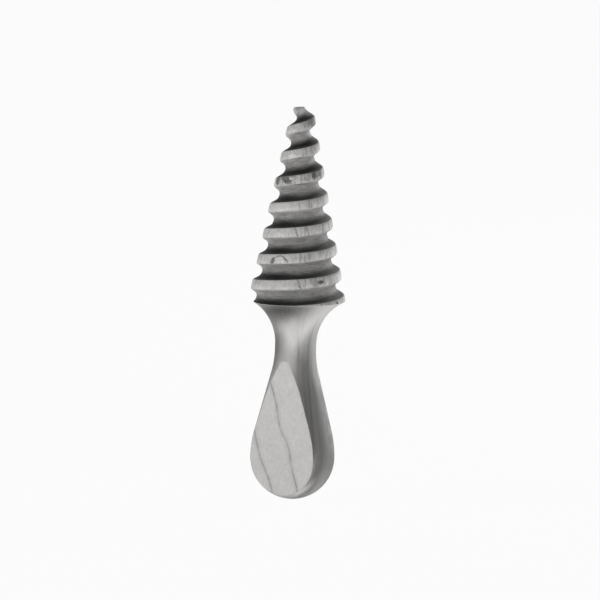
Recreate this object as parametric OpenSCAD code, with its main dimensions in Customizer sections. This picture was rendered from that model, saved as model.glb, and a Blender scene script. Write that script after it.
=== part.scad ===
// Oral screw: a tapered wooden screw with a flat-sided handle, turned and carved from one stick.
// The handle's round end stands at the origin, and +Z runs along the axis to the tip.

/* [Handle] */
// Greatest diameter of the pear-shaped handle
bulb_d = 23.1; // [18:0.1:28]
// Distance across the two flats, which face -Y and +Y
flats_across = 11.6; // [8:0.1:17]
// Radius of the shoulder that leads from the bulb into the taper
shoulder_r = 28.7; // [15:0.1:35]

/* [Neck] */
// Narrowest diameter of the neck
neck_d = 11.3; // [8:0.1:15]
// Height of the neck's lower end above the handle's end
neck_height = 41.5; // [36:0.1:48]
// Length of the straight part of the neck
neck_straight = 1.4; // [0.5:0.1:4]
// Radius of the hollow that leads from the taper into the neck
hollow_r = 26; // [12:0.1:32]

/* [Screw] */
// Height of the rim, where the flare of the neck meets the screw
rim_height = 55.1; // [53:0.1:66]
// Diameter of the rim
rim_d = 26.6; // [20:0.1:30]
// Length of the screw from the rim to the tip
screw_len = 52.7; // [35:0.1:70]
// Diameter of the screw at the tip
tip_d = 6; // [5:0.1:9]
// Height of the domed end above the tip's edge
tip_dome = 0.2; // [0.1:0.05:1]

/* [Groove] */
// Rise of the right-hand groove in one turn
pitch = 7.04; // [6.4:0.01:9]
// Depth of the groove below the lands
groove_depth = 2.1; // [1.8:0.05:2.6]
// Width of the groove between the lands, at the rim
groove_w = 4.37; // [3.9:0.01:5]
// Width of the groove between the lands, at the tip
groove_tip_w = 4.85; // [3.9:0.01:5.2]
// Radius of the groove's round root
root_r = 1.7; // [1:0.05:1.8]
// Least radius of the wood that the groove leaves on the axis
core_r = 0.8; // [0.4:0.05:1.2]
// Direction, about +Z from +X, in which the groove leaves the tip
groove_turn = 0.5; // [-180:0.5:180]

/* [Hidden] */

// Facets of the swept groove: steps in one turn, and chords of its round root
turn_steps = 32;
root_chords = 6;
// How far the groove's cutter stands out of the wood
cutter_over = 0.6;
$fn = 96;

bulb_r = bulb_d / 2;
neck_r = neck_d / 2;
rim_r = rim_d / 2;
tip_r = tip_d / 2;
tip_height = rim_height + screw_len;
end_height = tip_height + tip_dome;
flare_height = neck_height + neck_straight;

// A length in whole microns, so that arcs that touch each other do so exactly
function micron(length) = round(length * 1000) / 1000;

// The taper is the straight line that touches the shoulder's arc and the hollow's arc.
// Both radii shrink together where the handle is too short for them.
rise = neck_height - bulb_r;
waist = bulb_r - neck_r;
largest_sum = rise / sin(2 * atan(waist / rise));
fit = min(1, 0.98 * largest_sum / (shoulder_r + hollow_r));
shoulder = micron(shoulder_r * fit);
hollow = micron(hollow_r * fit);
shoulder_c = [bulb_r - shoulder, bulb_r];
hollow_c = [neck_r + hollow, neck_height];
between = hollow_c - shoulder_c;
taper_angle = atan2(between[1], between[0]) - acos((shoulder + hollow) / norm(between));
taper_normal = [cos(taper_angle), sin(taper_angle)];
taper_low = shoulder_c + shoulder * taper_normal;
taper_high = hollow_c - hollow * taper_normal;
// It starts a hair inside the shoulder and ends a hair proud of the hollow, so that it crosses each
// arc in one clean corner. The stretches run on past those corners.
hair = 0.003;
run_on = 1;
taper_start = taper_low - hair * taper_normal;
taper_end = taper_high + hair * taper_normal + run_on * [-taper_normal[1], taper_normal[0]];

// The flare is one arc from the neck out to the rim.
flare_rise = rim_height - flare_height;
flare_reach = rim_r - neck_r;
flare_r = micron((flare_rise * flare_rise + flare_reach * flare_reach) / (2 * flare_reach));

// The domed end is one arc across the tip.
dome_r = micron((tip_r * tip_r + tip_dome * tip_dome) / (2 * tip_dome));

// Radius of the lands at a height
function land_radius(z) = rim_r + (tip_r - rim_r) * (z - rim_height) / screw_len;

// Half the groove's width at a height
function groove_half(z) = (groove_w + (groove_tip_w - groove_w) * (z - rim_height) / screw_len) / 2;

// Angle of the groove's flanks to the radius, so that they touch the round root and end on the lands
function flank_angle(half) =
    let (left = groove_depth - root_r)
    acos(root_r / norm([half, left])) - atan2(left, half);

// Half of the groove's section, as [offset along the axis, height above the root], root first
function half_section(half) =
    let (flank = flank_angle(half), span = 90 - flank)
    concat(
        [for (i = [0 : root_chords / 2])
            let (a = span * i / (root_chords / 2))
            root_r * [sin(a), 1 - cos(a)]],
        [[half + cutter_over * tan(flank), groove_depth + cutter_over]]
    );

// The whole section, from the lower corner over the root to the upper corner
function section(half) =
    let (upper = half_section(half), last = len(upper) - 1)
    concat([for (i = [last : -1 : 1]) [-upper[i][0], upper[i][1]]], upper);

// One ring of the cutter: the section at a direction and height, following the taper
function ring(direction, height) = [
    for (p = section(groove_half(height)))
        let (z = height + p[0], r = max(land_radius(z) - groove_depth, core_r) + p[1])
        [r * cos(direction), r * sin(direction), z]
];

// The groove begins under the rim and goes on past the tip.
groove_low = rim_height - groove_w;
groove_high = end_height + groove_tip_w;
groove_steps = ceil((groove_high - groove_low) / pitch * turn_steps);

module groove() {
    rings = [
        for (i = [0 : groove_steps])
            let (height = groove_low + pitch * i / turn_steps)
            ring(groove_turn + 360 * (height - tip_height) / pitch, height)
    ];
    n = len(rings[0]);
    sides = [
        for (i = [0 : groove_steps - 1], j = [0 : n - 1])
            let (a = i * n + j, b = i * n + (j + 1) % n, c = a + n, d = b + n)
            each [[a, d, b], [a, c, d]]
    ];
    first_end = [for (j = [0 : n - 1]) j];
    last_end = [for (j = [n - 1 : -1 : 0]) groove_steps * n + j];
    polyhedron([for (r = rings) each r], concat(sides, [first_end, last_end]), convexity = 12);
}

// A block of the outline, from the axis to a radius, between two heights
module band(low, high, radius) {
    translate([0, low]) square([radius, high - low]);
}

// The round bulb, its shoulder, the straight taper and the hollow over it
module handle_outline() {
    intersection() {
        translate([0, bulb_r]) circle(bulb_r);
        band(0, bulb_r, bulb_r);
    }
    intersection() {
        translate(shoulder_c) circle(shoulder);
        band(bulb_r, taper_low[1] + run_on, bulb_r);
    }
    difference() {
        band(taper_high[1], neck_height, taper_high[0] + run_on);
        translate(hollow_c) circle(hollow);
    }
    polygon([[0, taper_start[1]], taper_start, taper_end, [0, taper_end[1]]]);
}

// The straight neck, then the cone of the screw, hollowed below into the flare and domed at its end
module screw_outline() {
    band(neck_height, flare_height, neck_r);
    difference() {
        polygon([
            [0, flare_height],
            [land_radius(flare_height), flare_height],
            [land_radius(end_height), end_height],
            [0, end_height]
        ]);
        translate([neck_r + flare_r, flare_height]) circle(flare_r);
        difference() {
            band(tip_height - tip_dome, end_height + tip_dome, rim_r);
            translate([0, end_height - dome_r]) circle(dome_r);
        }
    }
}

// One side of the handle, cut away beyond the flat
module flat_cut() {
    translate([-bulb_d, flats_across / 2, -1]) cube([2 * bulb_d, bulb_d, neck_height + 1]);
}

module oral_screw() {
    color("burlywood")
    difference() {
        rotate_extrude() {
            handle_outline();
            screw_outline();
        }
        flat_cut();
        mirror([0, 1, 0]) flat_cut();
        groove();
    }
}

oral_screw();
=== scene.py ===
import math
import bpy
import bmesh
import numpy as np
from mathutils import Matrix, Vector, noise


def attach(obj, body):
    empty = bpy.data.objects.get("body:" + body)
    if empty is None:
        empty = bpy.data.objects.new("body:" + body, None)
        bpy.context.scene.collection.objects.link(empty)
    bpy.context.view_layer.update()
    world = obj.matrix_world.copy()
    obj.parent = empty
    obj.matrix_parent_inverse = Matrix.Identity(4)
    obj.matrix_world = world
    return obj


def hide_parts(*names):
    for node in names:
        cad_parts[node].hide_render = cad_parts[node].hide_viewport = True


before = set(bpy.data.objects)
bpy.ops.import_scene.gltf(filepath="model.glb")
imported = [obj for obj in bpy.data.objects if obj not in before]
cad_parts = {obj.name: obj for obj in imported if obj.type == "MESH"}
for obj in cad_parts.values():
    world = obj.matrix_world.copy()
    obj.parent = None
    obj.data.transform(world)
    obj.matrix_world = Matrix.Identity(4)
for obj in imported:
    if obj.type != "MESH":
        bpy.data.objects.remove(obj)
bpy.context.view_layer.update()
mm = 0.001


# the stick: the same sizes as the solid, in mm
stick = {
    "bulbDiameter": 23.1,
    "flatsAcross": 11.6,
    "shoulderRadius": 28.7,
    "neckDiameter": 11.3,
    "neckHeight": 41.5,
    "neckStraight": 1.4,
    "hollowRadius": 26,
    "rimHeight": 55.1,
    "rimDiameter": 26.6,
    "screwLength": 52.7,
    "tipDiameter": 6,
    "tipDome": 0.2,
    "pitch": 7.04,
    "grooveDepth": 2.1,
    "grooveWidth": 4.37,
    "grooveTipWidth": 4.85,
    "rootRadius": 1.7,
    "coreRadius": 0.8,
    "grooveTurn": 0.5,      # degrees about +Z, where the groove leaves the tip
}

# how it was cut and how it wore, in mm and degrees
cutting = {
    "seed": 11,
    "columns": 360,
    "ringStep": 0.25,
    "cornerRound": 0.5,     # softened edge of the lands
    "rimRound": 0.2,        # softened edge of the rim
    "tipRound": 0.9,        # softened edge of the tip
    "flatEdgeRound": 0.22,  # softened edge of the flats
    "flatEdgeFade": 0.4,    # the height at a flat's top over which that softening fades out
    "tipWorn": 0.2,         # share of the radius worn off the tip's end all round
    "tipWornMore": 0.2,     # and besides on its worn side
    "tipWornSide": 30,      # direction of that side, past the groove's end
    "tipWornReach": 2.6,
    "lipWorn": 0.65,        # how much of the groove's lower flank is worn away on one side
    "lipWornSide": 75,      # direction of that side
    "lipWornFade": 1.3,     # how quickly that wear fades round the stick
    "lipWornAcross": (0.2, 0.7),    # and where it starts and is full, across it
    "landFacet": (7, 16),   # width of the knife's facets round a land
    "facetShare": 0.5,      # how much of a facet's depth is cut
    "facetRange": (-4000, 1200),    # all turns of the land lie between these
    "edgeWander": 0.07,     # knife slips along the lands' edges
    "landChatter": 0.02,
    "grooveStreak": 0.03,
    "sideFacet": 0.05,
    "sideFacetFrom": (2, 10),   # heights over which the side's facets start and end
    "sideFacetTo": (52, 46),
    "edgeReach": 0.5,       # how far from an edge its wear shows
}

# the noise behind these marks: its scale along and across them, and its layer
markNoise = {
    "edgeWander": (0.22, 1, 7),
    "landChatter": (1.3, 0.4, 3),
    "grooveStreak": (0.16, 5, 1),
    "sideFacet": (1 / 9, 0.035, 21),
}

bulbR = stick["bulbDiameter"] / 2
neckR = stick["neckDiameter"] / 2
rimR = stick["rimDiameter"] / 2
tipR = stick["tipDiameter"] / 2
shoulderR = stick["shoulderRadius"]
hollowR = stick["hollowRadius"]
halfFlat = stick["flatsAcross"] / 2
tipHeight = stick["rimHeight"] + stick["screwLength"]
endHeight = tipHeight + stick["tipDome"]
flareHeight = stick["neckHeight"] + stick["neckStraight"]
flareRise = stick["rimHeight"] - flareHeight
flareReach = rimR - neckR
flareR = (flareRise ** 2 + flareReach ** 2) / (2 * flareReach)
domeR = (tipR ** 2 + stick["tipDome"] ** 2) / (2 * stick["tipDome"])
screwStart = stick["rimHeight"] - 4     # the groove doesn't reach below this
lowestRim = stick["rimHeight"] - 3


def taperLine():
    # the straight line that touches the shoulder's arc and the hollow's arc
    shoulderCentre = np.array([bulbR - shoulderR, bulbR])
    hollowCentre = np.array([neckR + hollowR, stick["neckHeight"]])
    between = hollowCentre - shoulderCentre
    angle = math.atan2(between[1], between[0]) - math.acos((shoulderR + hollowR) / np.hypot(*between))
    normal = np.array([math.cos(angle), math.sin(angle)])
    return shoulderCentre + shoulderR * normal, hollowCentre - hollowR * normal


taperLow, taperHigh = taperLine()


def outlineRadius(z):
    # handle, neck and flare, from the round end up to the rim
    bulb = np.sqrt(np.maximum(bulbR ** 2 - (bulbR - z) ** 2, 0))
    shoulderArc = bulbR - shoulderR + np.sqrt(np.maximum(shoulderR ** 2 - (z - bulbR) ** 2, 0))
    share = (z - taperLow[1]) / (taperHigh[1] - taperLow[1])
    taper = taperLow[0] + share * (taperHigh[0] - taperLow[0])
    hollowArc = neckR + hollowR - np.sqrt(np.maximum(hollowR ** 2 - (z - stick["neckHeight"]) ** 2, 0))
    flare = neckR + flareR - np.sqrt(np.maximum(flareR ** 2 - np.maximum(z - flareHeight, 0) ** 2, 0))
    return np.select(
        [z < bulbR, z < taperLow[1], z < taperHigh[1], z < stick["neckHeight"]],
        [bulb, shoulderArc, taper, hollowArc], flare)


def landRadius(z):
    return rimR + (tipR - rimR) * (z - stick["rimHeight"]) / stick["screwLength"]


def grooveHalf(z):
    grow = (z - stick["rimHeight"]) / stick["screwLength"]
    return (stick["grooveWidth"] + (stick["grooveTipWidth"] - stick["grooveWidth"]) * grow) / 2


def domeRadius(z):
    return np.sqrt(np.maximum(domeR ** 2 - np.maximum(z - endHeight + domeR, 0) ** 2, 0))


def softMin(a, b, width):
    mix = np.maximum(width - np.abs(a - b), 0)
    return np.minimum(a, b) - mix ** 2 / (4 * width)


def partWay(value, start, end):
    return np.clip((value - start) / (end - start), 0, 1)


def smooth(part):
    return part ** 2 * (3 - 2 * part)


def wander(length, across, mark):
    # smooth noise of two coordinates, as deep as the mark is
    along, over, layer = markNoise[mark]
    length, across = np.broadcast_arrays(length, across)
    places = zip(length.ravel() * along, across.ravel() * over)
    values = [noise.noise(Vector((u, v, layer))) for u, v in places]
    return np.array(values).reshape(length.shape) * cutting[mark]


def grooveCentre(angle, turn):
    return tipHeight + stick["pitch"] * ((angle - stick["grooveTurn"]) / 360 + turn)


def grooveProfile(across, half):
    # height above the root: a round root, then straight flanks up to the lands
    rootR = stick["rootRadius"]
    left = stick["grooveDepth"] - rootR
    flank = np.arccos(rootR / np.hypot(half, left)) - np.arctan2(left, half)
    reach = rootR * np.cos(flank)
    inside = np.minimum(np.abs(across), reach)
    return rootR - np.sqrt(rootR ** 2 - inside ** 2) + (np.abs(across) - inside) / np.tan(flank)


def idealScrew(angle, z):
    # radii of the land and the groove as set out, the turn and the place across the groove
    turn = np.round((z - grooveCentre(angle, 0)) / stick["pitch"])
    centre = grooveCentre(angle, turn)
    half = grooveHalf(centre)
    root = np.maximum(landRadius(z) - stick["grooveDepth"], stick["coreRadius"])
    return landRadius(z), root + grooveProfile(z - centre, half), turn, (z - centre) / half


def facetCut(around, radius):
    # short flat cuts of the knife round a land: how far each lies inside the circle
    rng = np.random.default_rng(cutting["seed"])
    first, last = cutting["facetRange"]
    edges = [first]
    while edges[-1] < last:
        edges.append(edges[-1] + rng.uniform(*cutting["landFacet"]))
    edges = np.array(edges)
    place = np.searchsorted(edges, around, side="right") - 1
    low, high = edges[place], edges[place + 1]
    half = np.radians(high - low) / 2
    offset = np.radians(around - (low + high) / 2)
    return radius * (1 - np.cos(half) / np.cos(offset)) * cutting["facetShare"]


def stickSurface(angle, z):
    # radius of the wood, how close an edge is, the place across the groove, the length along it
    # and how far up the land it is
    land, groove, turn, side = idealScrew(angle, z)
    lowerSide = side < 0
    around = angle + 360 * np.where(lowerSide, turn - 1, turn)
    landLength = np.radians(around) * land
    land = land - facetCut(around, land) + wander(landLength, z, "landChatter")

    along = np.radians(angle + 360 * turn) * landRadius(z)
    ownEdge = np.where(lowerSide, -4.0, 4.0)    # far apart, so that each edge slips by itself
    groove = groove + 2 * wander(along, ownEdge, "edgeWander") + wander(along, side, "grooveStreak")
    flank = smooth(partWay(-side, *cutting["lipWornAcross"]))
    apart = np.clip(cutting["lipWornFade"] * (angle - cutting["lipWornSide"]), -90, 90)
    groove = groove - cutting["lipWorn"] * flank * np.cos(np.radians(apart)) ** 2

    faceted = partWay(z, *cutting["sideFacetFrom"]) * partWay(z, *cutting["sideFacetTo"])
    body = outlineRadius(z) + faceted * wander(angle, z, "sideFacet")
    dome = domeRadius(z)
    cut = softMin(land, groove, cutting["cornerRound"])
    screw = softMin(softMin(body, cut, cutting["rimRound"]), dome, cutting["tipRound"])
    toEnd = smooth(partWay(z, endHeight - cutting["tipWornReach"], endHeight))
    toward = np.cos(np.radians(angle - stick["grooveTurn"] - cutting["tipWornSide"]))
    worn = cutting["tipWorn"] + cutting["tipWornMore"] * np.maximum(toward, 0)
    radius = np.where(z > screwStart, screw * (1 - worn * toEnd), body)

    corner = np.abs(land - groove) + np.maximum(cut - body, 0)
    closest = np.minimum(corner, np.minimum(np.abs(body - cut), np.abs(dome - cut)))
    edge = np.where(z > screwStart, np.clip(1 - closest / cutting["edgeReach"], 0, 1), 0)
    below = grooveCentre(angle, np.where(lowerSide, turn - 1, turn))
    above = below + stick["pitch"]
    low, high = below + grooveHalf(below), above - grooveHalf(above)
    return radius, edge, side, along, partWay(z, low, high)


angles = np.arange(cutting["columns"]) * 360 / cutting["columns"]
crossingSteps = 800
hair = 0.001    # keeps the search clear of the ends


def firstCrossing(low, high, test):
    # for each direction, the height at which test turns positive
    heights = np.linspace(low, high, crossingSteps)
    values = test(angles[:, None], heights[None, :])
    hit = np.clip(np.argmax(values >= 0, axis=1), 1, len(heights) - 1)
    rows = np.arange(len(angles))
    before, after = values[rows, hit - 1], values[rows, hit]
    share = np.clip(-before / np.where(after == before, 1, after - before), 0, 1)
    return heights[hit - 1] + share * (heights[hit] - heights[hit - 1])


def flareOver(angle, z):
    land, groove, _, _ = idealScrew(angle, z)
    return outlineRadius(z) - np.minimum(land, groove)


def domeUnder(angle, z):
    land, groove, _, _ = idealScrew(angle, z)
    return np.minimum(land, groove) - domeRadius(z)


rimLine = firstCrossing(lowestRim, stick["rimHeight"] + 10 * hair, flareOver)
tipLine = firstCrossing(tipHeight - 5 * hair, endHeight - hair, domeUnder)

# the lines that run along the groove and the lands, for one turn
cornerSteps = [0, 0.02, 0.05, 0.09, 0.14, 0.2, 0.28, 0.38, 0.5, 0.62, 0.75, 0.88]
grooveLines = [-1 + s for s in cornerSteps] + [0] + [1 - s for s in reversed(cornerSteps)]
landSteps = [0.02, 0.05, 0.09, 0.15, 0.23, 0.32, 0.41]
landLines = landSteps + [0.5] + [1 - f for f in reversed(landSteps)]
perTurn = len(grooveLines) + len(landLines)
turns = range(-9, 2)    # from under the rim to over the tip
snap = 0.035            # a line nearer than this to the rim or the tip lies on it
underRim = 0.6          # the body's level rings stop this far under the rim's lowest place
flareRings = 24
capRings = 9


def screwHeights():
    # heights of all the lines in every column, held between the rim and the tip
    lines = []
    for turn in turns:
        centre = grooveCentre(angles, turn)
        half = grooveHalf(centre)
        landWidth = stick["pitch"] - half - grooveHalf(centre + stick["pitch"])
        lines += [centre + side * half for side in grooveLines]
        lines += [centre + half + share * landWidth for share in landLines]
    lines = np.array(lines).T
    low, high = rimLine[:, None], tipLine[:, None]
    lines = np.where(lines < low + snap, low, lines)
    return np.where(lines > high - snap, high, lines)


def bodyHeights():
    # rings from the round end up to the rim's line in every column
    step = cutting["ringStep"]
    arc = np.arange(1, int(bulbR * math.pi / 2 / step) + 1) * step / bulbR
    rings = list(bulbR * (1 - np.cos(arc)))
    rings += list(np.arange(rings[-1] + step, lowestRim - underRim, step))
    fixed = np.repeat(np.array(rings)[None, :], len(angles), axis=0)
    shares = 1 - (1 - np.linspace(0, 1, flareRings)[1:]) ** 1.5     # closer together toward the rim
    upper = rings[-1] + shares[None, :] * (rimLine[:, None] - rings[-1])
    return np.concatenate([fixed, upper], axis=1)


def columnQuads(start, count, shift):
    # joins neighbouring columns; the last column meets the first one shift rows further on
    found = []
    for column in range(len(angles)):
        step = shift if column == len(angles) - 1 else 0
        row = np.arange(count - 1 - step)
        here = start + column * count + row
        there = start + (column + 1) % len(angles) * count + row + step
        found.append(np.stack([here, there, there + 1, here + 1], axis=1))
    return np.concatenate(found)


def endFan(start, count, row, centre, upward):
    column = np.arange(len(angles))
    here = start + column * count + row
    there = start + (column + 1) % len(angles) * count + row
    middle = np.full(len(angles), centre)
    return np.stack([here, there, middle] if upward else [there, here, middle], axis=1)


def buildStick():
    angle = angles[:, None]
    parts = []
    for heights in (bodyHeights(), screwHeights()):
        parts.append((heights,) + stickSurface(angle, heights))
    edgeRing = parts[1][1][:, -1]
    capRadius = edgeRing[:, None] * np.linspace(1, 0, capRings)[None, 1:-1]
    capHeights = endHeight - domeR + np.sqrt(domeR ** 2 - capRadius ** 2)
    parts.append((capHeights, capRadius) + (0 * capRadius,) * 4)

    east, north = np.cos(np.radians(angle)), np.sin(np.radians(angle))
    points = [
        np.stack([part[1] * east, part[1] * north, part[0]], axis=-1).reshape(-1, 3) for part in parts]
    counts = [part[0].shape[1] for part in parts]
    starts = np.cumsum([0] + [len(p) for p in points])
    points = np.concatenate(points + [[[0, 0, 0], [0, 0, endHeight]]])

    screw = columnQuads(starts[1], counts[1], perTurn)
    cap = columnQuads(starts[2], counts[2], 0)
    rows = (screw[:, 0] - starts[1]) % counts[1]
    inGroove = rows % perTurn < len(grooveLines) - 1
    here = np.arange(len(angles))
    there = (here + 1) % len(angles)
    last = starts[1] + counts[1] - 1
    capJoin = np.stack([
        last + here * counts[1], last + there * counts[1],
        starts[2] + there * counts[2], starts[2] + here * counts[2]], axis=1)
    faces, finishes = [], []    # finishes: 0 turned, 1 land, 2 groove, and 3 for the flats
    for group, finish in [
            (endFan(starts[0], counts[0], 0, len(points) - 2, False), 0),
            (columnQuads(starts[0], counts[0], 0), 0),
            (screw[inGroove], 2), (screw[~inGroove], 1),
            (capJoin, 1), (cap, 1),
            (endFan(starts[2], counts[2], counts[2] - 1, len(points) - 1, True), 1)]:
        faces += group.tolist()
        finishes += [finish] * len(group)

    mesh = bpy.data.meshes.new("oralScrewWood")
    mesh.from_pydata((points * mm).tolist(), [], faces)
    mesh.polygons.foreach_set("material_index", finishes)
    for name, place in [("edge", 2), ("side", 3), ("along", 4), ("rise", 5)]:
        values = np.concatenate([part[place].ravel() for part in parts] + [[0, 0]])
        mesh.attributes.new(name, "FLOAT", "POINT").data.foreach_set("value", values.astype(np.float32))
    return mesh


def cutFlats(mesh):
    # saws the two flats off the handle and softens their edges
    bm = bmesh.new()
    bm.from_mesh(mesh)
    bmesh.ops.remove_doubles(bm, verts=bm.verts, dist=1e-7)
    edge = bm.verts.layers.float["edge"]
    top = (stick["neckHeight"] + 1) * mm
    half = halfFlat * mm
    soft = cutting["flatEdgeRound"] * mm
    reach = cutting["edgeReach"] * mm
    fade = cutting["flatEdgeFade"]
    flatTop = stick["neckHeight"] - math.sqrt(2 * hollowR * (halfFlat - neckR))
    for sign in (-1, 1):
        faces = [f for f in bm.faces if all(v.co.z < top for v in f.verts)]
        edges = list({e for f in faces for e in f.edges})
        verts = list({v for f in faces for v in f.verts})
        bmesh.ops.bisect_plane(
            bm, geom=verts + edges + faces, dist=1e-8,
            plane_co=(0, sign * half, 0), plane_no=(0, sign, 0))
    for face in bm.faces:
        middle = face.calc_center_median()
        if middle.z < top and abs(middle.y) > half:
            face.material_index = 3
    for v in bm.verts:
        if v.co.z > top:
            continue
        radius = math.hypot(v.co.x, v.co.y)
        over = abs(v.co.y) - half
        apart = over * abs(v.co.y) / max(radius, 1e-9) if over > 0 else -over
        share = min(max((flatTop + fade / 2 - v.co.z / mm) / fade, 0), 1)
        v[edge] = max(v[edge], (1 - apart / reach) * share, 0)
        inward = max(soft - apart, 0) ** 2 / (4 * soft) * share
        if over > -1e-8:
            v.co.y = math.copysign(half - inward, v.co.y)
        if over < 1e-8 and inward > 0:
            v.co.x *= 1 - inward / radius
            v.co.y *= 1 - inward / radius
    bm.normal_update()
    bm.to_mesh(mesh)
    bm.free()


woodMesh = buildStick()
cutFlats(woodMesh)
woodMesh.shade_smooth()
wood = bpy.data.objects.new("oralScrewWood", woodMesh)
bpy.context.scene.collection.objects.link(wood)
print("stick", len(woodMesh.vertices), "points", len(woodMesh.polygons), "faces")


# the node groups that the four finishes share, and the numbers inside them
shared = {
    "aroundRadius": 10,    # mm, of the circle that stands in for the direction
    "fleckDraw": (1.7, 1.7, 0.9),    # flecks are drawn out a little up the stick
    "bladeDraw": (1, 1, 0.16),    # and the blade's marks a lot
    "bladeCut": (0.5, 0.62),    # a cut: where a mark starts and where it is full
    "bladePatchCut": (0.85, 1.15),
    "wearScale": 1.1,
    "wearShake": 0.5,
    "patchCut": (2.2, 0.2),
    "raggedScale": 2.2,
    "noiseRange": (0.25, 0.75),    # nearly all of a noise lies between these
    "glossCut": (0.3, 0.7),
    "glossier": 0.07,    # how far the roughness goes below its value
    "duller": 0.09,    # and above it
}

# detail and roughness of the noises
noiseKinds = {
    "fine": (4, 0.65),
    "streaked": (4, 0.6),
    "gritty": (3, 0.7),
    "blotched": (3, 0.65),
    "cloudy": (3, 0.6),
    "soft": (2, 0.5),
}


def newGroup(name, inputs, outputs):
    # inputs have a value to start with, or None where it has to be linked
    kinds = {"Millimetres": "Vector", "Around": "Vector", "Colour": "Color"}
    tree = bpy.data.node_groups.new(name, "ShaderNodeTree")
    for way, labels in (("INPUT", inputs), ("OUTPUT", outputs)):
        for label in labels:
            kind = "NodeSocket" + kinds.get(label, "Float")
            socket = tree.interface.new_socket(label, in_out=way, socket_type=kind)
            if way == "INPUT" and inputs[label] is not None:
                socket.default_value = inputs[label]
    ins, outs = tree.nodes.new("NodeGroupInput"), tree.nodes.new("NodeGroupOutput")
    return tree, ins.outputs, outs.inputs


def plug(tree, socket, value):
    if isinstance(value, bpy.types.NodeSocket):
        tree.links.new(value, socket)
    else:
        socket.default_value = value


def newNode(tree, kind, *values, **settings):
    # a node with these settings, and with the values in its first sockets
    node = tree.nodes.new("ShaderNode" + kind)
    for setting, value in settings.items():
        setattr(node, setting, value)
    for socket, value in zip(node.inputs, values):
        plug(tree, socket, value)
    return node


def mathNode(tree, operation, *values):
    return newNode(tree, "Math", *values, operation=operation).outputs[0]


def times(tree, value, *others):
    for other in others:
        value = mathNode(tree, "MULTIPLY", value, other)
    return value


def stretchVector(tree, vector, amounts):
    return newNode(tree, "VectorMath", vector, amounts, operation="MULTIPLY").outputs[0]


def noiseNode(tree, vector, scale, kind):
    node = newNode(tree, "TexNoise", vector)
    plug(tree, node.inputs["Scale"], scale)
    node.inputs["Detail"].default_value, node.inputs["Roughness"].default_value = noiseKinds[kind]
    return node.outputs["Fac"]


def ramp(tree, value, low, high, lowOut=0, highOut=1, kind="SMOOTHSTEP"):
    node = newNode(tree, "MapRange", value, low, high, lowOut, highOut, interpolation_type=kind)
    return node.outputs["Result"]


def window(tree, value, comesIn, goesOut):
    return times(tree, ramp(tree, value, *comesIn), ramp(tree, value, *goesOut))


def curveNode(tree, value, points):
    # a smooth curve through a few points; what it gives lies between 0 and 1
    low, high = points[0][0], points[-1][0]
    node = newNode(tree, "FloatCurve")
    spline = node.mapping.curves[0]
    for place, tone in points[1:-1]:
        spline.points.new((place - low) / (high - low), tone)
    spline.points[0].location = (0, points[0][1])
    spline.points[-1].location = (1, points[-1][1])
    for point in spline.points:
        point.handle_type = "AUTO_CLAMPED"
    node.mapping.update()
    tree.links.new(ramp(tree, value, low, high, kind="LINEAR"), node.inputs["Value"])
    return node.outputs["Value"]


def blendTone(tree, tone, factor, other):
    node = newNode(tree, "Mix", factor, data_type="FLOAT")
    plug(tree, node.inputs["A"], tone)
    plug(tree, node.inputs["B"], other)
    return node.outputs["Result"]


def vary(tree, tone, grain, amount):
    # lightens and darkens a tone by up to half of amount, as a noise goes
    low, high = 1 - amount / 2, 1 + amount / 2
    return times(tree, tone, ramp(tree, grain, *shared["noiseRange"], low, high, "LINEAR"))


def shake(tree, value, grain, amount):
    # moves a value down and up by up to half of amount, as a noise goes
    return mathNode(tree, "ADD", value, mathNode(tree, "MULTIPLY_ADD", grain, amount, -amount / 2))


def makeStickPlace():
    # place on the stick: millimetres, and the direction, radius and height about its axis
    tree, _, outs = newGroup("stickPlace", {}, ["Millimetres", "Angle", "Radius", "Height", "Around"])
    place = newNode(tree, "TexCoord").outputs["Object"]
    scaled = stretchVector(tree, place, (1 / mm, 1 / mm, 1 / mm))
    x, y, z = newNode(tree, "SeparateXYZ", scaled).outputs
    angle = mathNode(tree, "ARCTAN2", y, x)
    square = mathNode(tree, "MULTIPLY_ADD", y, y, times(tree, x, x))
    # a circle stands in for the direction, so that patterns close round the stick
    east = times(tree, mathNode(tree, "COSINE", angle), shared["aroundRadius"])
    north = times(tree, mathNode(tree, "SINE", angle), shared["aroundRadius"])
    plug(tree, outs["Millimetres"], scaled)
    plug(tree, outs["Angle"], mathNode(tree, "DEGREES", angle))
    plug(tree, outs["Radius"], mathNode(tree, "SQRT", square))
    plug(tree, outs["Height"], z)
    plug(tree, outs["Around"], newNode(tree, "CombineXYZ", east, north, z).outputs[0])
    return tree


def makeWoodGrain():
    # close grain: long fine fibres, short flecks and cloudy tone
    tree, ins, outs = newGroup(
        "woodGrain", {"Millimetres": None, "Fibre Scale": 3.2, "Stretch": 0.05, "Cloud Scale": 0.3},
        ["Fibre", "Fleck", "Cloud"])
    place = ins["Millimetres"]
    amounts = newNode(tree, "CombineXYZ", 1, 1, ins["Stretch"]).outputs[0]
    drawn = stretchVector(tree, place, amounts)
    flecks = stretchVector(tree, place, shared["fleckDraw"])
    plug(tree, outs["Fibre"], noiseNode(tree, drawn, ins["Fibre Scale"], "fine"))
    plug(tree, outs["Fleck"], noiseNode(tree, flecks, 1, "gritty"))
    plug(tree, outs["Cloud"], noiseNode(tree, place, ins["Cloud Scale"], "cloudy"))
    return tree


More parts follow.
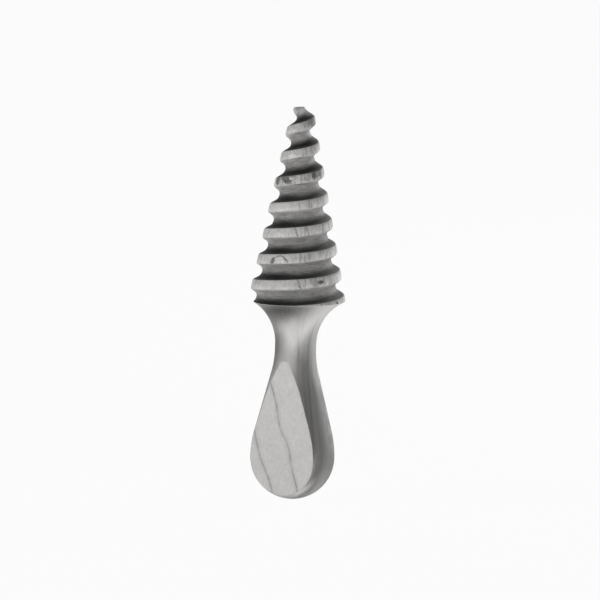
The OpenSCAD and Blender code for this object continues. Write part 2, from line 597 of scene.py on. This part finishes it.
def makeKnifeMarks():
    # fine marks of the blade that run up a land, in patches round the stick
    tree, ins, outs = newGroup(
        "knifeMarks", {"Around": None, "Scale": 1.5, "Patch Scale": 0.35, "Patch Share": 0.5},
        ["Marks", "Height"])
    drawn = stretchVector(tree, ins["Around"], shared["bladeDraw"])
    lines = noiseNode(tree, drawn, ins["Scale"], "cloudy")
    patches = noiseNode(tree, ins["Around"], ins["Patch Scale"], "soft")
    patches = mathNode(tree, "ADD", patches, ins["Patch Share"])
    patches = ramp(tree, patches, *shared["bladePatchCut"])
    plug(tree, outs["Marks"], times(tree, ramp(tree, lines, *shared["bladeCut"]), patches))
    plug(tree, outs["Height"], lines)
    return tree


def makeWornEdge():
    # rubbed edges, broken up by the grain
    tree, ins, outs = newGroup("wornEdge", {"Edge": 0, "Millimetres": None, "Width": 0.5}, ["Wear"])
    rough = noiseNode(tree, ins["Millimetres"], shared["wearScale"], "cloudy")
    reach = shake(tree, ins["Edge"], rough, shared["wearShake"])
    start = mathNode(tree, "SUBTRACT", 1, ins["Width"])
    plug(tree, outs["Wear"], ramp(tree, reach, start, 1))
    return tree


def makePatch():
    # one slanted, bent patch at a place on the stick, with a ragged edge or fading all the way
    tree, ins, outs = newGroup("patch", {
        "Angle": 0, "Radius": 0, "Height": 0, "Patch Angle": 0, "Patch Height": 0,
        "Slant": 0, "Length": 1, "Width": 0.3, "Bend": 0, "Ragged": 0}, ["Mark", "Shade"])
    turn = mathNode(tree, "SUBTRACT", ins["Angle"], ins["Patch Angle"])
    turn = mathNode(tree, "WRAP", turn, 180, -180)
    across = times(tree, mathNode(tree, "RADIANS", turn), ins["Radius"])
    rise = mathNode(tree, "SUBTRACT", ins["Height"], ins["Patch Height"])
    slant = mathNode(tree, "RADIANS", ins["Slant"])
    cosine, sine = mathNode(tree, "COSINE", slant), mathNode(tree, "SINE", slant)
    lengthwise = mathNode(tree, "MULTIPLY_ADD", rise, cosine, times(tree, across, sine))
    crosswise = mathNode(tree, "SUBTRACT", times(tree, across, cosine), times(tree, rise, sine))
    bow = times(tree, lengthwise, lengthwise, ins["Bend"])
    crosswise = mathNode(tree, "SUBTRACT", crosswise, bow)
    u = mathNode(tree, "DIVIDE", lengthwise, times(tree, ins["Length"], 0.5))
    v = mathNode(tree, "DIVIDE", crosswise, times(tree, ins["Width"], 0.5))
    far = mathNode(tree, "MULTIPLY_ADD", u, u, times(tree, v, v))
    far = mathNode(tree, "MAXIMUM", mathNode(tree, "ADD", far, ins["Ragged"]), 0)
    plug(tree, outs["Mark"], ramp(tree, far, *shared["patchCut"]))
    plug(tree, outs["Shade"], mathNode(tree, "POWER", 0.5, far))
    return tree


def makeWoodTint():
    # turns a tone into the colour of the wood
    tree, ins, outs = newGroup("woodTint", {"Tone": 0.5, "Red": 1.012, "Blue": 0.98}, ["Colour"])
    red, blue = times(tree, ins["Tone"], ins["Red"]), times(tree, ins["Tone"], ins["Blue"])
    plug(tree, outs["Colour"], newNode(tree, "CombineColor", red, ins["Tone"], blue).outputs[0])
    return tree


stickPlace = makeStickPlace()
woodGrain = makeWoodGrain()
knifeMarks = makeKnifeMarks()
wornEdge = makeWornEdge()
patch = makePatch()
woodTint = makeWoodTint()
print("node groups done")


def useGroup(tree, group, **values):
    # a value named fibreScale goes to the input Fibre Scale
    node = newNode(tree, "Group", node_tree=group)
    for label, value in values.items():
        words = "".join(" " + c if c.isupper() else c for c in label)
        plug(tree, node.inputs[words[0].upper() + words[1:]], value)
    return node.outputs


def attribute(tree, name):
    return newNode(tree, "Attribute", attribute_name=name).outputs["Fac"]


def rubEdges(tree, tone, place, look, amount):
    wear = useGroup(
        tree, wornEdge, edge=attribute(tree, "edge"), millimetres=place["Millimetres"],
        width=look["wearWidth"])["Wear"]
    return blendTone(tree, tone, times(tree, wear, amount), look["rubbed"])


def addPatches(tree, tone, place, look, kind):
    # a patch: angle, height, slant, length, width, bend, the tone it has and how strongly
    rough = noiseNode(tree, place["Millimetres"], shared["raggedScale"], "gritty")
    rough = mathNode(tree, "MULTIPLY_ADD", rough, 2 * look["patchRagged"], -look["patchRagged"])
    for angle, height, slant, length, width, bend, other, strength in look["patches"]:
        mask = useGroup(
            tree, patch, angle=place["Angle"], radius=place["Radius"], height=place["Height"],
            patchAngle=angle, patchHeight=height, slant=slant, length=length, width=width, bend=bend,
            ragged=rough)[kind]
        tone = blendTone(tree, tone, times(tree, mask, strength), other)
    return tone


def startFinish(name, look, grainPlace="Millimetres"):
    material = bpy.data.materials.new(name)
    material.use_nodes = True
    tree = material.node_tree
    place = useGroup(tree, stickPlace)
    return material, tree, place, useGroup(tree, woodGrain, millimetres=place[grainPlace], **look["grain"])


def endFinish(material, look, grain, tone, height):
    # colour from the tone, roughness about a value, and a bump of a depth in mm
    tree = material.node_tree
    shader = tree.nodes["Principled BSDF"].inputs
    shader["Specular IOR Level"].default_value = look["specular"]
    tree.links.new(useGroup(tree, woodTint, tone=tone)["Colour"], shader["Base Color"])
    low, high = look["roughness"] - shared["glossier"], look["roughness"] + shared["duller"]
    tree.links.new(ramp(tree, grain["Cloud"], *shared["glossCut"], low, high), shader["Roughness"])
    bump = newNode(tree, "Bump", 1)
    bump.inputs["Distance"].default_value = look["relief"] * mm
    tree.links.new(height, bump.inputs["Height"])
    tree.links.new(bump.outputs["Normal"], shader["Normal"])
    return material


# tones run from 0, black, to 1, white; a curve is a list of places and values, and addPatches
# says what the numbers of a patch are
landTone = {
    "grain": {"fibreScale": 2.6, "stretch": 0.2, "cloudScale": 0.45},
    # from a land's lower edge, 0, to its upper edge, 1: painted light near the lower edge, painted shade
    # toward the upper edge
    "upward": [(0, 0.5), (0.17, 0.55), (0.38, 0.49), (0.6, 0.45), (0.8, 0.44), (1, 0.41)],
    "ragged": 0.24,
    "dark": 0.17,
    "cloud": 0.36,
    "fleck": 0.4,
    "fibre": 0.16,
    "knife": 0.55,
    # from the rim to the tip, how much darker the lands are in places
    "aged": [(55, 0.98), (76, 1), (88, 0.98), (92, 0.9), (99, 1), (108, 0.9)],
    "blots": [
        (55, 0.06), (80, 0.08), (85.5, 0.25), (88, 0.6), (92, 0.55), (94, 0.2), (100, 0.3), (108, 0.35)],
    "blotScale": 1.3,
    "blotCut": (0.53, 0.62),
    # round the stick: how much of it the knife's marks cover, and how dark the painted shade on the upper
    # edge is
    "worked": [(-180, 0.25), (-120, 0.1), (-66, 0.12), (-52, 0.75), (-10, 0.85), (40, 0.4), (180, 0.25)],
    "brow": [(-180, 0.05), (-80, 0), (-40, 0.15), (-20, 0.35), (0, 0.5), (40, 0.3), (180, 0.05)],
    "browFrom": (0.55, 1),
    "edgeWear": 0.3,
    "wearWidth": 0.5,
    "rubbed": 0.6,
    "specular": 0.25,
    "roughness": 0.6,
    "relief": 0.07,
    "fleckRelief": 0.5,
    "patchRagged": 2.6,
    "patches": [
        (-63.5, 74.6, -20, 3.4, 0.55, 0, 0.2, 0.75), (-47, 75.8, 0, 1, 0.8, 0, 0.22, 0.6),
        (-118, 74, 22, 3.4, 0.4, 0, 0.22, 0.6), (-58, 61.2, -18, 3, 0.6, 0, 0.2, 0.75),
        (-55.5, 60.1, -35, 1.1, 0.5, 0, 0.12, 0.6), (-28.4, 61.4, 85, 1.9, 0.95, 0, 0.03, 1),
        (-36, 61.3, 95, 3, 1.8, 0, 0.26, 0.55), (-125, 60.9, 22, 3.2, 0.6, 0, 0.24, 0.55),
        (-57, 68.6, 2, 3.2, 0.5, 0, 0.22, 0.6), (-44, 69, 2, 3, 0.45, 0, 0.24, 0.55),
        (-3.1, 55.5, 0, 0.8, 0.75, 0, 0.02, 1), (-86, 68.2, 90, 3.4, 0.45, 0.24, 0.17, 0.8),
        (-98.5, 66.7, 30, 1.9, 1.2, 0, 0.08, 0.95), (-94.5, 67.8, 60, 1.4, 0.4, 0, 0.2, 0.6),
        (-77.5, 67.3, -45, 1.8, 0.6, 0, 0.15, 0.8), (-123, 68, 10, 2.4, 0.5, 0, 0.24, 0.5),
        (-60.5, 82.2, -18, 3, 0.4, 0, 0.24, 0.6), (-45, 82.8, 4, 2.8, 0.4, 0, 0.26, 0.5),
        (-124, 88.2, 0, 2.6, 1.8, 0, 0.06, 0.95), (-100, 89.2, 80, 2.6, 1.5, 0, 0.07, 0.95),
        (-92, 88.2, 95, 2.6, 1.3, 0, 0.06, 0.95), (-83, 89.7, 90, 2.2, 0.6, 0, 0.12, 0.7),
        (-108, 89.8, 40, 1.4, 0.6, 0, 0.08, 0.8), (-72, 89.6, 10, 2, 0.5, 0, 0.24, 0.6),
        (-58, 89.4, 5, 2.4, 0.5, 0, 0.22, 0.6), (-50, 89.9, -8, 2.2, 0.4, 0, 0.22, 0.6),
        (-24, 90.2, 0, 2.4, 1.4, 0, 0.07, 0.9), (-12, 90.3, 12, 2.2, 0.7, 0, 0.14, 0.7),
        (-3, 90.4, 0, 2.4, 1.4, 0, 0.09, 0.85), (-96, 95.3, 22, 2.6, 0.3, 0, 0.28, 0.6),
        (-76, 95.6, -38, 2.8, 0.3, 0, 0.28, 0.6), (-84, 94.9, 90, 2.6, 1.4, 0, 0.64, 0.8),
        (-29, 104.2, 30, 1.8, 1.3, 0, 0.16, 0.75), (-48, 103.6, 10, 1.6, 0.5, 0, 0.22, 0.5),
        (-4, 103.6, 0, 3.4, 2.4, 0, 0.1, 0.75), (-34, 104.6, 20, 3.4, 2.6, 0, 0.2, 0.3),
        (-70, 102.2, 60, 2, 0.35, 0, 0.26, 0.5),
    ],
}


def landWood(look):
    material, tree, place, grain = startFinish("landWood", look)
    rise = attribute(tree, "rise")
    worked = curveNode(tree, place["Angle"], look["worked"])
    knife = useGroup(tree, knifeMarks, around=place["Around"], patchShare=worked)
    # the tone across a land, with painted light at its lower edge and painted shade at its upper edge
    tone = curveNode(tree, shake(tree, rise, grain["Fleck"], look["ragged"]), look["upward"])
    tone = times(tree, tone, curveNode(tree, place["Height"], look["aged"]))
    tone = vary(tree, tone, grain["Cloud"], look["cloud"])
    tone = vary(tree, tone, grain["Fleck"], look["fleck"])
    tone = blendTone(tree, tone, times(tree, knife["Marks"], look["knife"]), look["dark"])
    blots = noiseNode(tree, place["Millimetres"], look["blotScale"], "blotched")
    blots = ramp(tree, blots, *look["blotCut"])
    blots = times(tree, blots, curveNode(tree, place["Height"], look["blots"]))
    tone = blendTone(tree, tone, blots, look["dark"])
    # painted shade along a land's upper edge, stronger on one side of the stick
    brow = ramp(tree, rise, *look["browFrom"])
    brow = times(tree, brow, curveNode(tree, place["Angle"], look["brow"]))
    tone = blendTone(tree, tone, brow, look["dark"])
    tone = addPatches(tree, tone, place, look, "Mark")
    tone = vary(tree, tone, grain["Fibre"], look["fibre"])
    tone = rubEdges(tree, tone, place, look, look["edgeWear"])
    height = mathNode(tree, "ADD", knife["Height"], times(tree, grain["Fleck"], look["fleckRelief"]))
    return endFinish(material, look, grain, tone, height)


# the grooves are dark, most of all in their lower half, with dirt of handling and painted shade, and
# lighter on one side with painted light; a pair is where something starts and where it is full
grooveTone = {
    "grain": {"fibreScale": 3.4, "stretch": 0.5, "cloudScale": 0.5},
    # from the groove's lower lip, -1, over its root to its upper lip, 1; nearly black on the lower flank,
    # which faces up, with dirt and painted shade
    "across": [
        (-1, 0.08), (-0.88, 0.03), (-0.72, 0.008), (-0.56, 0.01), (-0.42, 0.027), (-0.25, 0.07),
        (-0.08, 0.135), (0.08, 0.19), (0.25, 0.215), (0.42, 0.245), (0.6, 0.29), (0.78, 0.33), (1, 0.41)],
    # round the stick: how dark the lower half stays with dirt and painted shade, and how pale the upper
    # half is with painted light
    "grime": [
        (-180, 0.8), (-150, 0.95), (-100, 1), (-84, 0.93), (-64, 0.66), (-44, 0.45), (-24, 0.38),
        (-4, 0.22), (15, 0.05), (45, 0.1), (90, 0.5), (150, 0.75), (180, 0.8)],
    "pale": [(-180, 0.7), (-150, 0.8), (-135, 0.6), (-118, 0.24), (-100, 0), (120, 0), (180, 0.7)],
    "clean": 0.27,
    "paleTone": 0.62,
    "lowerHalf": (0.5, -0.1),
    "upperHalf": (0.1, 0.8),
    "lip": (-0.9, -0.25),       # it stays dark below this
    "lipLift": 0.26,            # and this much further up toward the tip
    "harderAbove": (84, 94),
    # between these angles the lip is clean too, less so toward the tip
    "bare": 0.6,
    "bareFrom": (-50, 0),
    "bareTo": (150, 90),
    "lessBare": 0.8,
    # between these angles the lip is lighter too, partly unsoiled wood and partly painted light, less so
    # toward the tip
    "cleanAndLitAbove": (105.4, 107.4),
    # from the rim to the tip, how much paler the lighter side is, painted light
    "paler": [(55, 0), (74, 0), (80, 0.14), (88, 0.14), (100, 0.26), (108, 0.4)],
    "palerFrom": (-125, -80),
    "palerTo": (175, 125),
    "streakDraw": (0.12, 3.2),  # along the groove and across it
    "streakScale": 1.5,
    "streakShake": 0.3,
    "streak": 0.6,
    "cloud": 0.25,
    "fleck": 0.16,
    "specular": 0.1,
    "roughness": 0.66,
    "relief": 0.06,
    "patchRagged": 1,
    # the dark patches, under the lands' lower edges, are painted shade; the pale ones at 32 and 18 degrees
    # are painted light
    "patches": [
        (-66, 87.6, 86, 6, 0.8, 0, 0.12, 0.7), (-73, 94.6, 84, 4.4, 0.7, 0, 0.13, 0.65),
        (-76, 101.2, 80, 3, 0.7, 0, 0.13, 0.6), (-28, 66.6, 86, 7, 1.2, 0, 0.15, 0.6),
        (-56, 72.4, 88, 6, 0.8, 0, 0.17, 0.4), (-74, 65.7, 92, 6, 1, 0, 0.17, 0.4),
        (-98, 58.8, 88, 9, 0.7, 0, 0.33, 0.5), (-60, 58.6, 88, 8, 0.6, 0, 0.16, 0.4),
        (120, 70, 88, 8, 1, 0, 0.15, 0.5), (60, 84, 88, 7, 0.8, 0, 0.14, 0.5),
        (-85, 77.3, 86, 16, 1, 0, 0.02, 0.4), (-125, 91.4, 88, 5, 1.2, 0, 0.12, 0.35),
        (-125, 98.4, 88, 4.5, 1.2, 0, 0.12, 0.35), (-125, 105.4, 88, 4, 1.2, 0, 0.1, 0.5),
        (32, 86.9, 86, 5, 1.8, 0, 0.45, 0.4), (32, 93.7, 86, 4.5, 2, 0, 0.5, 0.5),
        (32, 100.6, 86, 4, 2, 0, 0.6, 0.6), (18, 107, 84, 2.6, 1.8, 0, 0.6, 0.6),
    ],
}


def grooveWood(look):
    material, tree, place, grain = startFinish("grooveWood", look)
    side = attribute(tree, "side")
    along, across = look["streakDraw"]
    strip = times(tree, attribute(tree, "along"), along), times(tree, side, across)
    strip = newNode(tree, "CombineXYZ", *strip).outputs[0]
    streak = noiseNode(tree, strip, look["streakScale"], "streaked")
    dirtAndShade = curveNode(tree, shake(tree, side, streak, look["streakShake"]), look["across"])
    grime = curveNode(tree, place["Angle"], look["grime"])

    # toward the tip the dark band of dirt and painted shade is harder and reaches further round
    high = ramp(tree, place["Height"], *look["harderAbove"])
    lifted = mathNode(tree, "SUBTRACT", side, times(tree, high, look["lipLift"]))
    bare = window(tree, place["Angle"], look["bareFrom"], look["bareTo"])
    lessBare = mathNode(tree, "MULTIPLY_ADD", high, -look["lessBare"], 1)
    bare = times(tree, bare, look["bare"], lessBare)
    overLip = mathNode(tree, "MAXIMUM", ramp(tree, lifted, *look["lip"]), bare)
    # the lower half is lighter where the dirt and painted shade leave off, partly unsoiled wood and partly
    # painted light
    clean = times(
        tree, mathNode(tree, "SUBTRACT", 1, grime), ramp(tree, side, *look["lowerHalf"]), overLip)
    clean = mathNode(tree, "MAXIMUM", clean, ramp(tree, place["Height"], *look["cleanAndLitAbove"]))
    tone = blendTone(tree, dirtAndShade, clean, look["clean"])

    # painted light: the upper half paler on one side, and the lighter side paler toward the tip
    pale = curveNode(tree, place["Angle"], look["pale"])
    pale = times(tree, pale, ramp(tree, side, *look["upperHalf"]))
    tone = blendTone(tree, tone, pale, look["paleTone"])
    paler = curveNode(tree, place["Height"], look["paler"])
    paler = times(tree, paler, window(tree, place["Angle"], look["palerFrom"], look["palerTo"]))
    tone = times(tree, tone, mathNode(tree, "ADD", paler, 1))
    # patches of painted shade and painted light
    tone = addPatches(tree, tone, place, look, "Shade")
    tone = vary(tree, tone, streak, look["streak"])
    tone = vary(tree, tone, grain["Cloud"], look["cloud"])
    tone = vary(tree, tone, grain["Fleck"], look["fleck"])
    return endFinish(material, look, grain, tone, streak)


# turned wood: the handle's side, the neck and the flare, a darker wood with painted shade and painted
# highlights in places
turnedTone = {
    "grain": {"fibreScale": 1.1, "stretch": 0.035},
    # from the round end up to the rim: the turned wood's own darker tone, with painted light at the round
    # end and on the flare, and darkest on the handle's side, partly painted shade
    "upward": [
        (0, 0.82), (1.6, 0.62), (5, 0.46), (8, 0.34), (11, 0.23), (17, 0.175), (30, 0.19), (37, 0.29),
        (41, 0.31), (44.5, 0.4), (47, 0.55), (50, 0.64), (56, 0.7)],
    # heights over which the fibres come in and go out, and how much of them stays on the neck
    "fibreFrom": (4, 14),
    "fibreTo": (44, 34),
    "neckFrom": (30, 40),
    "neckFibre": (0.1, 0.3),
    "fibre": 0.45,
    "line": 0.4,
    "lineCut": (0.56, 0.66),
    "lineTone": 0.12,
    "cloud": 0.16,
    "wearWidth": 0.34,
    "rubbed": 0.78,
    "edgeWear": 0.85,
    "flatEdgeWear": 0.3,
    "flareFrom": (44, 50),
    "specular": 0.25,
    "roughness": 0.58,
    "relief": 0.04,
    "patchRagged": 0.25,
    # patches: nearly all are painted light and shade; the dark bands beside the flats and under the rim
    # are painted shade, the pale bands on the neck, the flare and near the round end painted highlights
    "patches": [
        (-88, 36.5, 90, 9, 7, 0, 0.45, 0.9), (-127, 31, 0, 12, 3.4, 0, 0.5, 0.8),
        (-46, 45.8, 0, 15, 7, 0.04, 0.84, 0.95), (-133, 40.8, 8, 17, 5.2, 0, 0.11, 0.97),
        (-37, 24, 0, 42, 4.4, 0, 0.135, 0.9), (143, 22, 0, 46, 5, 0, 0.15, 0.7),
        (-32, 36.5, 0, 9, 3.6, 0, 0.17, 0.9), (-21.5, 39.5, 0, 15, 0.7, 0.012, 0.11, 0.8),
        (-51, 40.5, 0, 11, 0.6, -0.01, 0.16, 0.6), (-14, 40, 0, 13, 2.4, 0, 0.2, 0.55),
        (-32, 48.4, 36, 8, 3.4, 0, 0.86, 0.8), (-29, 22, 2, 30, 0.6, 0, 0.08, 0.5),
        (-18, 20, 1, 30, 0.5, 0, 0.1, 0.4), (-23, 8.5, 10, 13, 2.6, 0, 0.18, 0.75),
        (-28, 3.4, 40, 6, 1.6, 0, 0.22, 0.7), (-41, 3.2, 45, 5.6, 1.9, 0, 0.92, 0.95),
        (-31.8, 8.4, 11, 7, 1.1, 0, 0.44, 0.85), (12, 44, 0, 14, 5, 0, 0.42, 0.7),
        (9, 36.5, 4, 12, 3, 0, 0.22, 0.5), (17, 14, 0, 28, 4.5, 0, 0.1, 0.6),
        (-24, 53.5, 80, 10, 6, 0, 0.97, 0.9), (-90, 53, 78, 21, 5.8, 0, 0.05, 0.98),
        (-104, 50.6, 66, 10, 3.2, 0, 0.16, 0.45), (100, 44, 0, 18, 6, 0.05, 0.58, 0.7),
        (62, 53.6, 94, 12, 4, 0, 0.14, 0.7),
    ],
}


def turnedWood(look):
    material, tree, place, grain = startFinish("turnedWood", look, "Around")
    tone = curveNode(tree, place["Height"], look["upward"])
    # patches of painted shade and painted highlight
    tone = addPatches(tree, tone, place, look, "Shade")
    shown = window(tree, place["Height"], look["fibreFrom"], look["fibreTo"])
    onNeck = ramp(tree, place["Height"], *look["neckFrom"], *look["neckFibre"])
    fibre = mathNode(tree, "SUBTRACT", grain["Fibre"], 0.5)
    fibre = times(tree, fibre, mathNode(tree, "MAXIMUM", shown, onNeck))
    tone = vary(tree, tone, mathNode(tree, "ADD", fibre, 0.5), look["fibre"])
    lines = times(tree, ramp(tree, grain["Fibre"], *look["lineCut"]), shown, look["line"])
    tone = blendTone(tree, tone, lines, look["lineTone"])
    tone = vary(tree, tone, grain["Cloud"], look["cloud"])
    wears = look["flatEdgeWear"], look["edgeWear"]
    amount = ramp(tree, place["Height"], *look["flareFrom"], *wears)
    tone = rubEdges(tree, tone, place, look, amount)
    return endFinish(material, look, grain, tone, grain["Fibre"])


flatTone = {
    "grain": {"fibreScale": 2.4, "stretch": 0.12},
    "tone": 0.55,
    "dark": 0.2,
    # growth lines from the top down, as height and distance from the middle
    "frontLines": [
        [(36, -5.4), (32.9, -4.35), (26.5, -2.16), (19.75, -0.6), (15.84, 1.73), (9.9, 3.24),
         (3.5, 5.27), (0, 6.2)],
        [(24, -10.9), (18.06, -8.75), (12.13, -7.05), (8.43, -5.33), (4.47, -3.41), (2.3, -2.79),
         (0, -2.4)],
    ],
    "backLines": [
        [(36, 2.6), (28, 0.4), (20, -1.1), (14, -3.6), (6, -5.4), (0, -7)],
    ],
    "line": 0.7,
    "lineWidth": 0.47,
    "lineCore": 0.2,        # share of that width in which it is full
    "halo": 0.3,            # a fainter band on both sides of a line
    "haloWidth": 3.6,       # times the line's width
    "lineShake": 0.5,
    "shakeScale": 0.9,
    "fadeScale": 0.35,      # a line is stronger and weaker along its way
    "fadeCut": (0.3, 0.65),
    "weakest": 0.5,
    "curveSpan": 40,        # mm that the whole curve of a line stands for, both ways
    "fibre": 0.1,
    "fleck": 0.2,
    "cloud": 0.12,
    "specular": 0.25,
    "roughness": 0.58,
    "relief": 0.025,
}


def growthLine(tree, place, x, z, points, look):
    # a dark growth line that follows a few points down a flat
    span = look["curveSpan"]
    curve = newNode(tree, "FloatCurve")
    curve.mapping.use_clip = False
    spline = curve.mapping.curves[0]
    ordered = [(height / span, offset / span + 0.5) for height, offset in sorted(points)]
    spline.points[0].location, spline.points[1].location = ordered[0], ordered[-1]
    for height, offset in ordered[1:-1]:
        spline.points.new(height, offset)
    curve.mapping.update()
    tree.links.new(mathNode(tree, "DIVIDE", z, span), curve.inputs["Value"])
    middle = mathNode(tree, "MULTIPLY_ADD", curve.outputs["Value"], span, -span / 2)
    rough = noiseNode(tree, place, look["shakeScale"], "soft")
    middle = shake(tree, middle, rough, look["lineShake"])
    off = mathNode(tree, "ABSOLUTE", mathNode(tree, "SUBTRACT", x, middle))
    width = look["lineWidth"]
    core = ramp(tree, off, width, width * look["lineCore"])
    halo = ramp(tree, off, width * look["haloWidth"], 0, 0, look["halo"])
    fade = noiseNode(tree, place, look["fadeScale"], "soft")
    fade = ramp(tree, fade, *look["fadeCut"], look["weakest"], 1)
    return times(tree, mathNode(tree, "MAXIMUM", core, halo), fade)


def flatWood(look):
    material, tree, place, grain = startFinish("flatWood", look)
    tone = vary(tree, look["tone"], grain["Cloud"], look["cloud"])
    tone = vary(tree, tone, grain["Fibre"], look["fibre"])
    tone = vary(tree, tone, grain["Fleck"], look["fleck"])
    x, y, z = newNode(tree, "SeparateXYZ", place["Millimetres"]).outputs
    for lines, test in (("frontLines", "LESS_THAN"), ("backLines", "GREATER_THAN")):
        here = mathNode(tree, test, y, 0)
        for points in look[lines]:
            line = growthLine(tree, place["Millimetres"], x, z, points, look)
            tone = blendTone(tree, tone, times(tree, line, here, look["line"]), look["dark"])
    return endFinish(material, look, grain, tone, grain["Fleck"])


woodMesh.materials.append(turnedWood(turnedTone))
woodMesh.materials.append(landWood(landTone))
woodMesh.materials.append(grooveWood(grooveTone))
woodMesh.materials.append(flatWood(flatTone))
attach(wood, "root")
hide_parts("oral_screw")
print("finishes done")


# where the photograph was taken from, in degrees and mm
lookout = {
    "azimuth": 30.5,
    "elevation": 7.8,
    "roll": 1.683,
    "distance": 1823,
    "height": 54.25,
    "right": 0.853,
    "up": 0.703,
    "frameWidth": 164.05,
    "sensorWidth": 36,
    "clipEnd": 50,      # metres
}


def direction(turn, rise):
    # points turn degrees round from the front and rise degrees up
    turn, rise = math.radians(turn), math.radians(rise)
    return Vector((math.sin(turn) * math.cos(rise), -math.cos(turn) * math.cos(rise), math.sin(rise)))


def addCamera():
    back = direction(lookout["azimuth"], lookout["elevation"])
    right = direction(lookout["azimuth"] + 90, 0)
    up = back.cross(right)
    roll = math.radians(lookout["roll"])
    cosine, sine = math.cos(roll), math.sin(roll)
    right, up = right * cosine + up * sine, up * cosine - right * sine
    camera = bpy.data.cameras.new("camera")
    camera.sensor_width = lookout["sensorWidth"]
    camera.lens = lookout["sensorWidth"] * lookout["distance"] / lookout["frameWidth"]
    camera.clip_end = lookout["clipEnd"]
    holder = bpy.data.objects.new("camera", camera)
    bpy.context.scene.collection.objects.link(holder)
    place = Vector((0, 0, lookout["height"])) + back * lookout["distance"]
    place += right * lookout["right"] + up * lookout["up"]
    axes = Matrix((right, up, back)).transposed().to_4x4()
    holder.matrix_world = Matrix.Translation(place * mm) @ axes
    bpy.context.scene.camera = holder


addCamera()
print("camera done")


# lamps stand so many degrees to the right of the camera and up; sizes in metres, power in watts
studio = {
    "aimHeight": 54,    # mm
    "left": {"turn": -75, "rise": 7, "distance": 0.9, "width": 0.35, "height": 0.25, "power": 4.6},
    "front": {"turn": 20, "rise": 7, "distance": 0.9, "width": 0.35, "height": 0.25, "power": 2.5},
    "rim": {"turn": 132, "rise": 8, "distance": 0.8, "width": 0.3, "height": 0.45, "power": 4.5},
    "card": {"turn": 40, "rise": -13, "distance": 0.235, "width": 0.3, "height": 0.26, "power": 0.2},
    "horizon": 0.2,
    "zenith": 0.15,
    "zenithFrom": 0.8,
    "floorSides": 64,
    "floorRadius": 6,
    "floorTone": 0.85,
    "floorWhite": 0.95,     # how white the floor looks, whatever light falls on it
    "roomWhite": 0.956,     # how white the room looks over the floor
}


def showSeen(tree, lit, seen, share, output):
    # rays that look straight at the floor or the room, or see them by reflection, see them white
    path = newNode(tree, "LightPath").outputs
    rays = mathNode(tree, "MAXIMUM", path["Is Camera Ray"], path["Is Transmission Ray"])
    rays = mathNode(tree, "MAXIMUM", rays, path["Is Glossy Ray"])
    mix = newNode(tree, "MixShader", times(tree, rays, share), lit.outputs[0], seen.outputs[0])
    tree.links.new(mix.outputs[0], tree.nodes[output].inputs["Surface"])


def addFloor():
    bpy.ops.mesh.primitive_circle_add(
        vertices=studio["floorSides"], radius=studio["floorRadius"], fill_type="NGON")
    floor = bpy.context.object
    floor.name = "floor"
    material = bpy.data.materials.new("floorPaper")
    material.use_nodes = True
    tree = material.node_tree
    paper = tree.nodes["Principled BSDF"]
    paper.inputs["Base Color"].default_value = (studio["floorTone"],) * 3 + (1,)
    paper.inputs["Roughness"].default_value = 1
    white = newNode(tree, "Emission")
    showSeen(tree, paper, white, studio["floorWhite"], "Material Output")
    floor.data.materials.append(material)


def addLamp(name, facing=None):
    values = studio[name]
    data = bpy.data.lights.new(name, "AREA")
    data.shape = "RECTANGLE"
    data.size, data.size_y, data.energy = values["width"], values["height"], values["power"]
    lamp = bpy.data.objects.new(name, data)
    bpy.context.scene.collection.objects.link(lamp)
    outward = direction(lookout["azimuth"] + values["turn"], values["rise"])
    lamp.location = Vector((0, 0, studio["aimHeight"] * mm)) + outward * values["distance"]
    lamp.rotation_euler = (facing or outward).to_track_quat("Z", "Y").to_euler()
    lamp.visible_camera = False


def addRoom():
    # a white tent whose ceiling is dim
    world = bpy.data.worlds.new("room")
    bpy.context.scene.world = world
    world.use_nodes = True
    tree = world.node_tree
    room = tree.nodes["Background"]
    room.inputs["Color"].default_value = (1, 1, 1, 1)
    _, _, up = newNode(tree, "SeparateXYZ", newNode(tree, "TexCoord").outputs["Generated"]).outputs
    strength = ramp(tree, up, 0, studio["zenithFrom"], studio["horizon"], studio["zenith"])
    tree.links.new(strength, room.inputs["Strength"])
    white = newNode(tree, "Background", (1, 1, 1, 1), studio["roomWhite"])
    showSeen(tree, room, white, 1, "World Output")


addFloor()
addLamp("left")
addLamp("front")
addLamp("rim")
addLamp("card", Vector((0, 0, -1)))     # throws light up, as a white card lying there does
addRoom()
bpy.context.scene.view_settings.view_transform = "Standard"
print("studio done")
